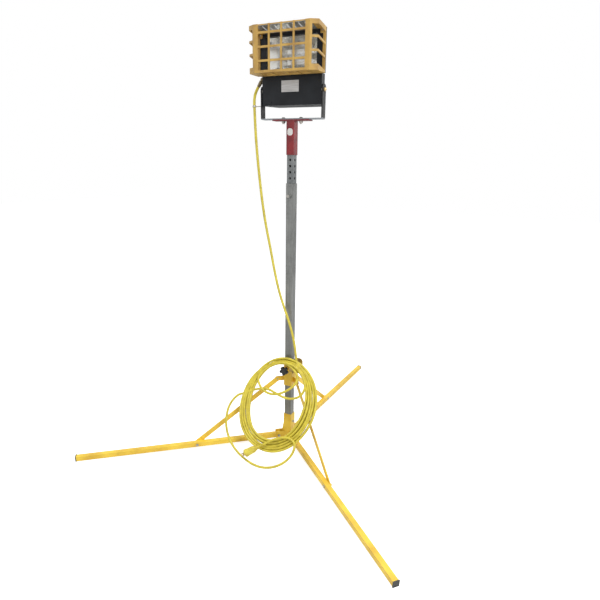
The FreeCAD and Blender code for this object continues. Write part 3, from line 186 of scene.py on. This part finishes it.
class Material:
    """A node material, new or already made, with the textures that the recipes below share."""

    def __init__(self, name=None, data=None):
        self.data = data or bpy.data.materials.new(name)
        self.data.use_nodes = True
        self.tree = self.data.node_tree
        self.shader = self.tree.nodes["Principled BSDF"]
        coordinates = self.tree.nodes.new("ShaderNodeTexCoord")
        self.place = coordinates.outputs["Object"]

    def fill_all(self, node, values):
        """Fills a node's sockets by name, with _ for a space."""
        for key, value in values.items():
            fill(self.tree, node.inputs[key.replace("_", " ")], value)

    def node(self, kind, **inputs):
        """A new node; an input is a number, a colour, or another node's output."""
        made = self.tree.nodes.new(kind)
        self.fill_all(made, inputs)
        return made

    def set(self, **values):
        """Numbers or links on the shader's own sockets."""
        self.fill_all(self.shader, values)
        return self

    def stretched(self, x, y, z):
        """Coordinates that are stretched by these factors."""
        return self.node("ShaderNodeMapping", Vector=self.place, Scale=(x, y, z)).outputs[0]

    def noise(self, scale, detail=3, place=None):
        """A noise value from 0 to 1 at a scale in cycles per metre."""
        return self.node("ShaderNodeTexNoise", Vector=place or self.place, Scale=scale,
                         Detail=detail).outputs["Fac"]

    def ramp(self, value, low, high, start=0.0, end=1.0):
        """Maps value from low..high to start..end."""
        return self.node("ShaderNodeMapRange", Value=value, From_Min=low, From_Max=high,
                         To_Min=start, To_Max=end).outputs[0]

    def mix(self, share, first, second):
        """A colour between first and second, which are colours or outputs."""
        made = self.tree.nodes.new("ShaderNodeMix")
        made.data_type = "RGBA"
        self.tree.links.new(share, made.inputs[SHARE])
        for index, value in ((FIRST, first), (SECOND, second)):
            linked = isinstance(value, bpy.types.NodeSocket)
            fill(self.tree, made.inputs[index], value if linked else (*value, 1))
        return made.outputs[RESULT]

    def multiply(self, first, second):
        """The product of two values."""
        made = self.tree.nodes.new("ShaderNodeMath")
        made.operation = "MULTIPLY"
        self.tree.links.new(first, made.inputs[0])
        self.tree.links.new(second, made.inputs[1])
        return made.outputs[0]

    def edges(self, radius):
        """1 near sharp edges and 0 on flat faces, from the bevelled normal."""
        bevel = self.node("ShaderNodeBevel", Radius=radius)
        bevel.samples = 4
        true = self.tree.nodes.new("ShaderNodeNewGeometry")
        dot = self.tree.nodes.new("ShaderNodeVectorMath")
        dot.operation = "DOT_PRODUCT"
        self.tree.links.new(bevel.outputs[0], dot.inputs[0])
        self.tree.links.new(true.outputs["Normal"], dot.inputs[1])
        return self.ramp(dot.outputs["Value"], FLAT_DOT, SHARP_DOT)

    def bump(self, height, strength, distance):
        """Relief from a height value. Returns the finished material."""
        made = self.node("ShaderNodeBump", Strength=strength, Distance=distance, Height=height)
        self.set(Normal=made.outputs[0])
        return self.data


def scaled(colour, factor):
    """A colour made lighter or darker."""
    return tuple(factor * channel for channel in colour)


def painted(name, light, dark, bare, rough, wear=0.35, scale=14, gloss=0.5):
    """Powder-coated steel: cloudy tone, orange-peel relief, dust in patches and chipped edges."""
    made = Material(name)
    tone = made.mix(made.ramp(made.noise(scale, 4), 0.35, 0.68), light, dark)
    dust = made.ramp(made.noise(scale * 6, 6), 0.58, 0.78, 0.0, 0.35)
    tone = made.mix(dust, tone, scaled(dark, 0.55))
    chips = made.multiply(made.edges(0.0016), made.ramp(made.noise(320, 4), 0.5, 0.62, 0.0, wear))
    tone = made.mix(chips, tone, bare)
    roughness = made.ramp(made.noise(60), 0.3, 0.7, rough - 0.07, rough + 0.1)
    made.set(Base_Color=tone, Roughness=roughness, Specular_IOR_Level=gloss)
    return made.bump(made.noise(900, 2), 0.12, 0.0004)


def galvanised(name, light, dark):
    """Zinc-coated tube: spangle cells, faint drawn lines along the tube and dull patches."""
    made = Material(name)
    cells = made.node("ShaderNodeTexVoronoi", Vector=made.place, Scale=95).outputs["Distance"]
    lines = made.noise(240, place=made.stretched(1, 1, 0.03))
    patches = made.noise(9, 4)
    tone = made.mix(made.ramp(patches, 0.35, 0.65), light, dark)
    tone = made.mix(made.ramp(cells, 0.1, 0.75, 0.0, 0.35), tone, scaled(light, 1.25))
    tone = made.mix(made.ramp(lines, 0.45, 0.7, 0.0, 0.4), tone, scaled(dark, 0.6))
    made.set(Base_Color=tone, Metallic=0.55, Roughness=made.ramp(cells, 0.0, 0.8, 0.32, 0.57))
    return made.bump(lines, 0.15, 0.0003)


def plated(name, light, dark, rough=0.3):
    """Plated hardware: light metal with brushed rings, darker in random patches."""
    made = Material(name)
    tone = made.mix(made.ramp(made.noise(70, 4), 0.35, 0.7), light, dark)
    roughness = made.ramp(made.noise(260, 2), 0.3, 0.7, rough, rough + 0.2)
    made.set(Base_Color=tone, Metallic=0.85, Roughness=roughness)
    return made.bump(made.noise(1200, 2), 0.1, 0.0002)


def moulded(name, light, dark, rough=0.5, grain=1400, wear=(0.3, 0.3, 0.3)):
    """Moulded plastic or rubber: fine grain, scuffed edges and dust."""
    made = Material(name)
    tone = made.mix(made.ramp(made.noise(40, 5), 0.35, 0.7), light, dark)
    scuff = made.multiply(made.edges(0.001), made.ramp(made.noise(420), 0.45, 0.65, 0.0, 0.25))
    tone = made.mix(scuff, tone, wear)
    roughness = made.ramp(made.noise(90, 2), 0.3, 0.7, rough - 0.06, rough + 0.08)
    made.set(Base_Color=tone, Roughness=roughness)
    return made.bump(made.noise(grain, 2), 0.2, 0.0002)


def sheet_metal(name, light, dark, rough, metallic=0.75, uneven=0.25, relief=0.06):
    """Bright aluminium sheet with rolling lines along its length and smudges."""
    made = Material(name)
    lines = made.noise(300, place=made.stretched(0.05, 1, 1))
    tone = made.mix(made.ramp(lines, 0.35, 0.7), light, dark)
    smudge = made.ramp(made.noise(30, 4), 0.5, 0.75, rough, rough + uneven)
    made.set(Base_Color=tone, Metallic=metallic, Roughness=smudge)
    return made.bump(lines, relief, 0.0002)


def glazing(name, tint, solid):
    """Thin clear glass: mostly see-through, with a sharp gloss and a faint film of dust."""
    made = Material(name)
    film = made.ramp(made.noise(24, 5), 0.5, 0.8, solid, solid + 0.05)
    return made.set(Base_Color=(*tint, 1), Roughness=0.04, Alpha=film).data


def worn_floor(data):
    """The lower face of the yoke's cross bar is rubbed to a light grey."""
    made = Material(data=data)
    bare, wear_start, wear_end = (0.30, 0.32, 0.34), 0.0042, 0.0056
    coat = made.shader.inputs["Base Color"].links[0].from_socket
    height = made.node("ShaderNodeSeparateXYZ", Vector=made.place).outputs["Z"]
    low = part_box("yoke")[0].z
    share = made.ramp(height, low + wear_start, low + wear_end, 1, 0)
    return made.set(Base_Color=made.mix(share, coat, bare)).data


def build_materials():
    """Every material of the light, by name."""
    rust = (0.16, 0.07, 0.03)
    return {
        "stand_yellow": painted("StandYellow", (0.95, 0.66, 0.062), (0.74, 0.46, 0.04),
                                (0.28, 0.26, 0.24), 0.42),
        "guard_yellow": painted("GuardYellow", (0.56, 0.35, 0.085), (0.38, 0.22, 0.06),
                                rust, 0.45, 0.5, 22),
        # The hook's yellow is a darker, browner copy of the stand's paint: painted shade for the inside
        # of the hook's channel.
        "hook_shaded_yellow": painted("HookShadedYellow", (0.45, 0.30, 0.06), (0.26, 0.16, 0.04),
                               rust, 0.5, 0.5, 30),
        "black": painted("BlackCoat", (0.009, 0.011, 0.014), (0.004, 0.005, 0.007),
                         (0.10, 0.10, 0.10), 0.42, gloss=0.28),
        "yoke_black": worn_floor(painted("YokeBlack", (0.010, 0.010, 0.011), (0.005, 0.005, 0.006),
                                         (0.12, 0.11, 0.10), 0.42, gloss=0.28)),
        "red": painted("RedSocket", (0.25, 0.018, 0.022), (0.10, 0.010, 0.014),
                       (0.05, 0.02, 0.02), 0.4, 0.4, 28),
        "outer_tube": galvanised("OuterTube", (0.27, 0.275, 0.265), (0.17, 0.172, 0.165)),
        "inner_tube": galvanised("InnerTube", (0.23, 0.24, 0.24), (0.12, 0.13, 0.13)),
        "zinc": plated("ZincBolts", (0.52, 0.50, 0.46), (0.30, 0.28, 0.25)),
        "brass": plated("YellowZinc", (0.68, 0.50, 0.25), (0.40, 0.26, 0.11), 0.25),
        "blade_brass": plated("BladeBrass", (0.62, 0.47, 0.24), (0.36, 0.25, 0.12), 0.22),
        "laminate": plated("Laminations", (0.14, 0.14, 0.15), (0.06, 0.06, 0.065), 0.45),
        "copper": plated("CopperWire", (0.50, 0.20, 0.08), (0.28, 0.10, 0.04), 0.35),
        "black_plastic": moulded("BlackPlastic", (0.015, 0.015, 0.016), (0.006, 0.006, 0.007), 0.48),
        "grey_plastic": moulded("GreyPlug", (0.06, 0.06, 0.055), (0.03, 0.03, 0.028), 0.55),
        "rubber": moulded("BlackRubber", (0.012, 0.012, 0.012), (0.006, 0.006, 0.006), 0.65),
        "label": moulded("BlankLabel", (0.80, 0.79, 0.76), (0.66, 0.64, 0.60),
                         0.35, 600, (0.5, 0.4, 0.35)),
        "jacket": moulded("CordJacket", (0.70, 0.58, 0.055), (0.52, 0.42, 0.035),
                          0.4, 500, (0.42, 0.34, 0.08)),
        "plug": moulded("PlugRubber", (0.76, 0.64, 0.08), (0.55, 0.43, 0.05),
                        0.5, 700, (0.3, 0.25, 0.08)),
        "relief": moulded("ReliefRubber", (0.24, 0.18, 0.08), (0.13, 0.09, 0.04),
                          0.55, 700, (0.3, 0.25, 0.1)),
        "ceramic": moulded("Ceramic", (0.78, 0.76, 0.70), (0.62, 0.60, 0.54),
                           0.3, 300, (0.5, 0.5, 0.45)),
        "mirror": sheet_metal("ReflectorSheet", (0.84, 0.83, 0.79), (0.78, 0.77, 0.73),
                              0.16, metallic=0.95, uneven=0.06, relief=0.008),
        "shield": sheet_metal("ShieldSheet", (0.46, 0.47, 0.46), (0.30, 0.31, 0.31), 0.3),
        "plate": sheet_metal("BarePlate", (0.50, 0.49, 0.48), (0.38, 0.37, 0.36), 0.4),
        "glass": glazing("FrontGlass", (0.80, 0.84, 0.84), 0.05),
        "bulb": glazing("BulbGlass", (0.85, 0.86, 0.84), 0.22),
    }


def finish_nodes(materials):
    """Gives each CAD node its material."""
    by_material = {
        "stand_yellow": ["lower_collar", "upper_collar"],
        # The hook gets the darker yellow, which paints the shade inside its channel.
        "hook_shaded_yellow": ["cord_hook"],
        "guard_yellow": ["guard_cage"],
        "black": ["ballast_box", "ballast_cover", "lamp_housing", "door_frame"],
        "yoke_black": ["yoke"],
        "red": ["mount_socket"],
        "outer_tube": ["mast_outer_tube"],
        "inner_tube": ["mast_inner_tube"],
        "zinc": ["leg_pivot_bolts", "base_nuts", "collar_cross_bolt", "strut_ear_bolts",
                 "knob_stud", "lock_pin", "yoke_bolts", "yoke_nuts", "tilt_spacers",
                 "case_screws", "housing_bolts", "capacitor", "cord_clip"],
        "brass": ["tilt_bolts"],
        "blade_brass": ["plug_blades"],
        "black_plastic": ["mast_foot_cap", "star_knob", "igniter", "terminal_block"],
        "grey_plastic": [],
        "label": ["socket_label"],
        "relief": ["cord_gland", "strain_relief"],
        "plug": ["plug_body"],
        "jacket": ["power_cord", "cord_coil", "cord_tail"],
        "rubber": ["glass_gasket"],
        "ceramic": ["lampholders"],
        "mirror": ["reflector"],
        "shield": ["heat_shield"],
        "plate": ["blank_nameplate"],
        "laminate": ["ballast_core"],
        "copper": ["ballast_winding"],
        "glass": ["front_glass"],
        "bulb": ["halide_lamp"],
    }
    for name in LEG_NAMES:
        by_material["stand_yellow"] += [name + "_leg", name + "_strut"]
        by_material["zinc"].append(name + "_strut_bolt")
        by_material["grey_plastic"].append(name + "_leg_tip")
    for key, names in by_material.items():
        for name in names:
            for place in NODES[name].material_slots:
                place.material = materials[key]


# ---------------------------------------------------------------- the cord's route

CORD_WIDTH = 0.012
CLIP_HEIGHT = 1.644      # where the cord passes from the head to the mast extension
SLACK_HEIGHT = 1.30      # where it passes from the mast extension to the stand

GLAND_LOW, GLAND_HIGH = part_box("cord_gland")
ELBOW_INSET = 0.0085
ELBOW = Vector((GLAND_LOW.x + ELBOW_INSET, (GLAND_LOW.y + GLAND_HIGH.y) / 2,
                (GLAND_LOW.z + GLAND_HIGH.z) / 2))
EXIT_DIP = math.radians(52)
EXIT = Vector((-math.cos(EXIT_DIP), 0, -math.sin(EXIT_DIP)))
RELIEF_START = ELBOW + EXIT * 0.008
CORD_START = ELBOW + EXIT * 0.033

UPPER_ROUTE = [CORD_START, CORD_START + EXIT * 0.024] + [Vector(point) for point in (
    (-0.195, 0.004, 1.672), (-0.191, 0.000, 1.616), (-0.182, -0.007, 1.512), (-0.168, -0.012, 1.395),
    (-0.150, -0.017, 1.270), (-0.128, -0.021, 1.150), (-0.099, -0.026, 1.040), (-0.072, -0.031, 0.925),
    (-0.043, -0.036, 0.825), (-0.009, -0.040, 0.745), (0.025, -0.043, 0.665), (0.045, -0.043, 0.595),
    (0.055, -0.041, 0.532), (0.060, -0.038, 0.474))]

FIRST_LOOP = [Vector(point) for point in (
    (0.070, -0.074, 0.446), (0.094, -0.086, 0.424), (0.096, -0.102, 0.396), (0.077, -0.118, 0.370),
    (0.047, -0.134, 0.348), (0.015, -0.147, 0.332), (-0.023, -0.152, 0.324), (-0.062, -0.150, 0.329),
    (-0.098, -0.139, 0.346))]

SECOND_LOOP = [Vector(point) for point in (
    (0.149, -0.119, 0.370), (0.130, -0.138, 0.340), (0.100, -0.147, 0.326), (0.061, -0.151, 0.321),
    (0.012, -0.146, 0.329), (-0.054, -0.137, 0.346), (-0.118, -0.146, 0.330))]

LOWER_ROUTE = [Vector(point) for point in (
    (-0.178, -0.160, 0.296), (-0.208, -0.166, 0.288), (-0.231, -0.187, 0.264), (-0.243, -0.218, 0.228),
    (-0.237, -0.253, 0.175), (-0.211, -0.286, 0.126), (-0.163, -0.316, 0.081), (-0.106, -0.337, 0.053),
    (-0.044, -0.351, 0.035), (0.018, -0.358, 0.028), (0.070, -0.355, 0.035), (0.116, -0.345, 0.052),
    (0.155, -0.327, 0.079), (0.180, -0.302, 0.113), (0.184, -0.277, 0.147), (0.167, -0.263, 0.167),
    (0.137, -0.258, 0.173), (0.102, -0.262, 0.167), (0.066, -0.273, 0.152), (0.031, -0.291, 0.132),
    (-0.002, -0.310, 0.110))]

# The hank hangs from the hook in a leaning plane. Lane 0 is its innermost turn and lane 1 its
# outermost.
TURNS = 9
POINTS_PER_TURN = 16
START_ANGLE = 0.24
HANK_LEAN = math.radians(33)
HANK_TOP = Vector((0.017, -0.047, 0.464))
HALF_WIDTH, WIDTH_SPREAD, SIDE_BULGE = 0.155, 0.052, 0.006
HALF_HEIGHT, HEIGHT_SPREAD = 0.197, 0.040
MIDDLE_DROP, DROP_SPREAD = 0.203, 0.012
LAYER_STEP = 0.0062
LANES = (0.74, 0.36, 0.24, 0.86, 0.99, 0.12, 0.50, 0.61, 0.02, 0.40)
LAYERS = (1, -1, 1, -1, 1, -1, 1, -1, 1, 1)
CHANGE_START = 0.8       # the share of a turn after which it moves to the next lane

# Each turn's own unevenness: its size, how often it comes round, and its shift from turn to turn.
WOBBLES = ((0.0025, 2, 1.7), (0.0018, 3, 2.3))

# The stretch between the two loops, from one angle to another in degrees.
OVER_START, OVER_END, OVER_POINTS = 298, 412, 8
OVER_LANE, OVER_LAYER = 0.06, 0.0155


def coil_point(angle, lane, layer, wobble=0.0):
    """A point of the hank, at an angle about its middle, in a lane and a layer."""
    down = Vector((0, -math.sin(HANK_LEAN), -math.cos(HANK_LEAN)))
    outward = Vector((0, -math.cos(HANK_LEAN), math.sin(HANK_LEAN)))
    pull = 1 / math.cos(math.pi / POINTS_PER_TURN)
    wide = (HALF_WIDTH + WIDTH_SPREAD * lane) * pull + wobble
    tall = (HALF_HEIGHT + HEIGHT_SPREAD * lane) * pull - wobble
    sideways = wide * math.sin(angle) + SIDE_BULGE * lane * math.sin(angle) ** 2
    along = MIDDLE_DROP + DROP_SPREAD * lane - tall * math.cos(angle)
    return HANK_TOP + Vector((sideways, 0, 0)) + down * along + outward * layer


def coil_points():
    """The hank's turns in two layers. Each turn keeps its lane until it nears the hook."""
    points = []
    for i in range(TURNS * POINTS_PER_TURN):
        angle = START_ANGLE + 2 * math.pi * i / POINTS_PER_TURN
        whole = int(angle / (2 * math.pi))
        share = (angle / (2 * math.pi) - whole - CHANGE_START) / (1 - CHANGE_START)
        share = min(max(share, 0), 1)
        share = share * share * (3 - 2 * share)
        lane = LANES[whole] * (1 - share) + LANES[whole + 1] * share
        layer = LAYER_STEP * (LAYERS[whole] * (1 - share) + LAYERS[whole + 1] * share)
        wobble = sum(size * math.sin(times * angle + shift * whole) for size, times, shift in WOBBLES)
        points.append(coil_point(angle, lane, layer, wobble))
    return points


def over_the_hook():
    """The stretch of the hank between the two loops, in one lane."""
    step = (OVER_END - OVER_START) / (OVER_POINTS - 1)
    return [coil_point(math.radians(OVER_START + step * i), OVER_LANE, OVER_LAYER)
            for i in range(OVER_POINTS)]


# ---------------------------------------------------------------- shapes

def nurbs_curve(name, points):
    """A smooth open spline with these control points."""
    data = bpy.data.curves.new(name, "CURVE")
    data.dimensions = "3D"
    data.resolution_u = 8
    spline = data.splines.new("NURBS")
    spline.points.add(len(points) - 1)
    for target, point in zip(spline.points, points):
        target.co = (*point, 1)
    spline.order_u = 3
    spline.use_endpoint_u = True
    made = bpy.data.objects.new(name, data)
    bpy.context.scene.collection.objects.link(made)
    return made


def line_of(points):
    """Points along the smooth spline of a route."""
    guide = nurbs_curve("guide", points)
    bpy.context.view_layer.update()
    mesh = bpy.data.meshes.new_from_object(guide)
    line = [vertex.co.copy() for vertex in mesh.vertices]
    bpy.data.objects.remove(guide)
    bpy.data.meshes.remove(mesh)
    if (line[0] - points[0]).length > (line[-1] - points[0]).length:
        line.reverse()
    return line


def length_of(line):
    """The length of a line of points."""
    return sum((b - a).length for a, b in zip(line, line[1:]))


def split_at(line, heights):
    """Cuts a falling line into pieces at these heights, which share their end points."""
    parts, current, rest = [], [line[0]], list(heights)
    for a, b in zip(line, line[1:]):
        while rest and a.z >= rest[0] > b.z:
            cut_point = a.lerp(b, (a.z - rest[0]) / (a.z - b.z))
            current.append(cut_point)
            parts.append(current)
            current = [cut_point]
            rest.pop(0)
        current.append(b)
    parts.append(current)
    return parts


def ring_at(mesh, centre, across, other, sides, reach):
    """One ring of points about a centre. reach gives the radius at an angle."""
    ring = []
    for k in range(sides):
        angle = 2 * math.pi * k / sides
        ray = across * math.cos(angle) + other * math.sin(angle)
        ring.append(mesh.verts.new(centre + ray * reach(angle)))
    return ring


def skin(mesh, rings):
    """Faces between neighbouring rings, with both ends closed."""
    sides = len(rings[0])
    for first, second in zip(rings, rings[1:]):
        for k in range(sides):
            after = (k + 1) % sides
            mesh.faces.new((first[k], first[after], second[after], second[k]))
    mesh.faces.new(list(reversed(rings[0])))
    mesh.faces.new(rings[-1])


def from_bmesh(name, mesh):
    """A linked, smooth-shaded object from a bmesh."""
    data = bpy.data.meshes.new(name)
    mesh.normal_update()
    mesh.to_mesh(data)
    mesh.free()
    for face in data.polygons:
        face.use_smooth = True
    made = bpy.data.objects.new(name, data)
    bpy.context.scene.collection.objects.link(made)
    return made


def tube(name, line, radius, sides=16):
    """A closed round tube along a line."""
    mesh = bmesh.new()
    across = (line[1] - line[0]).orthogonal().normalized()
    rings = []
    for i, point in enumerate(line):
        ahead = (line[min(i + 1, len(line) - 1)] - line[max(i - 1, 0)]).normalized()
        across = (across - ahead * across.dot(ahead)).normalized()
        rings.append(ring_at(mesh, point, across, ahead.cross(across), sides, lambda angle: radius))
    skin(mesh, rings)
    return from_bmesh(name, mesh)


def revolved(name, start, ahead, profile, sides=40, flutes=0, depth=0.0):
    """A turned piece along a direction, from (distance, radius, fluted) rings, closed at both ends."""
    ahead = ahead.normalized()
    across = ahead.cross(Vector((0, 0, 1))).normalized()
    other = across.cross(ahead)
    mesh = bmesh.new()
    rings = []
    for distance, radius, fluted in profile:
        def reach(angle):
            return radius - fluted * depth * (0.5 + 0.5 * math.cos(flutes * angle))
        rings.append(ring_at(mesh, start + ahead * distance, across, other, sides, reach))
    skin(mesh, rings)
    bmesh.ops.recalc_face_normals(mesh, faces=mesh.faces)
    return from_bmesh(name, mesh)


def ribs(count, pitch, radius, growth, swell, groove, shares):
    """Rings of a ribbed sleeve. Each rib is a crest and then a groove, at these shares of its pitch."""
    crest_end, groove_start, groove_end = shares
    rings = []
    for i in range(count):
        low, wide = 0.001 + pitch * i, radius + growth * i
        rings += [(low, wide, 0), (low + crest_end * pitch, wide + swell, 0),
                  (low + groove_start * pitch, wide - groove, 0),
                  (low + groove_end * pitch, wide - groove, 0)]
    return rings


# ---------------------------------------------------------------- pieces

def build_plug(materials):
    """The moulded plug: a ribbed boot, a fluted grip and a rounded face."""
    ahead = (LOWER_ROUTE[-1] - LOWER_ROUTE[-2]).normalized()
    boot = ribs(6, 0.0037, 0.0078, 0.0011, 0.0003, 0.0012, (0.55, 0.68, 0.95))
    grip = [(0.0250, 0.0152, 0), (0.0268, 0.0164, 0), (0.0290, 0.0172, 0.3), (0.0330, 0.0178, 1),
            (0.0560, 0.0186, 1), (0.0610, 0.0188, 0.3), (0.0640, 0.0192, 0)]
    face = [(0.0655, 0.0198, 0), (0.0745, 0.0198, 0), (0.0768, 0.0191, 0), (0.0778, 0.0176, 0),
            (0.0780, 0.0150, 0)]
    profile = [(0.0, 0.0062, 0)] + boot + grip + face
    plug = revolved("plug_moulding", LOWER_ROUTE[-1], ahead, profile, sides=72, flutes=12,
                    depth=0.0012)
    plug.data.materials.append(materials["plug"])
    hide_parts("plug_body")
    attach(plug, "sliding_collar")
    return plug


def build_relief(materials):
    """The tapered strain relief with rings, where the cord leaves the gland."""
    sleeve = ribs(5, 0.0048, 0.0086, -0.0003, 0.0, 0.0013, (0.5, 0.62, 0.94))
    profile = [(0.0006, 0.0078, 0)] + sleeve + [(0.0250, 0.0064, 0)]
    relief = revolved("ribbed_relief", RELIEF_START, EXIT, profile)
    relief.data.materials.append(materials["relief"])
    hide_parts("strain_relief")
    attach(relief, "head")


def build_arc_tube(materials):
    """The lamp's inner arc tube with its two leads, inside the clear bulb."""
    low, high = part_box("halide_lamp")
    lead, length = 0.0012, 0.042
    body_start, body_length, body_radius, body_swell, steps = 0.006, 0.030, 0.0015, 0.0045, 12
    profile = [(0.0, lead, 0), (0.005, lead, 0)]
    for i in range(steps + 1):
        along = i / steps
        radius = body_radius + body_swell * math.sin(math.pi * along) ** 0.6
        profile.append((body_start + body_length * along, radius, 0))
    profile += [(0.037, lead, 0), (length, lead, 0)]
    start = (low + high) / 2 - Vector((length / 2, 0, 0))
    core = revolved("arc_tube", start, Vector((1, 0, 0)), profile, sides=24)
    core.data.materials.append(materials["ceramic"])
    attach(core, "head")


def build_cords(materials):
    """The cord: from the head past the mast to the hank on the hook, and its tail with the plug."""
    parts = split_at(line_of(UPPER_ROUTE), (CLIP_HEIGHT, SLACK_HEIGHT))
    pieces = []
    for name, part in zip(("cord_at_head", "cord_along_mast", "cord_above_coil"), parts):
        made = tube(name, part, CORD_WIDTH / 2)
        made.data.materials.append(materials["jacket"])
        pieces.append(made)
    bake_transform(pieces[0])
    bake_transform(pieces[1])
    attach(pieces[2], "stand")
    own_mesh(pieces[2])

    route = coil_points() + FIRST_LOOP + over_the_hook() + SECOND_LOOP + LOWER_ROUTE
    hank = nurbs_curve("cord_hank", route)
    hank.data.bevel_depth = CORD_WIDTH / 2
    hank.data.bevel_resolution = 4
    hank.data.use_fill_caps = True
    hank.data.materials.append(materials["jacket"])
    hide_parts("power_cord", "cord_coil", "cord_tail")
    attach(hank, "sliding_collar")
    length_of(line_of(route))
    build_plug(materials)


# ---------------------------------------------------------------- build

build_camera()
build_floor()
build_world()
build_lights()
library = build_materials()
finish_nodes(library)
build_relief(library)
build_cords(library)
build_arc_tube(library)
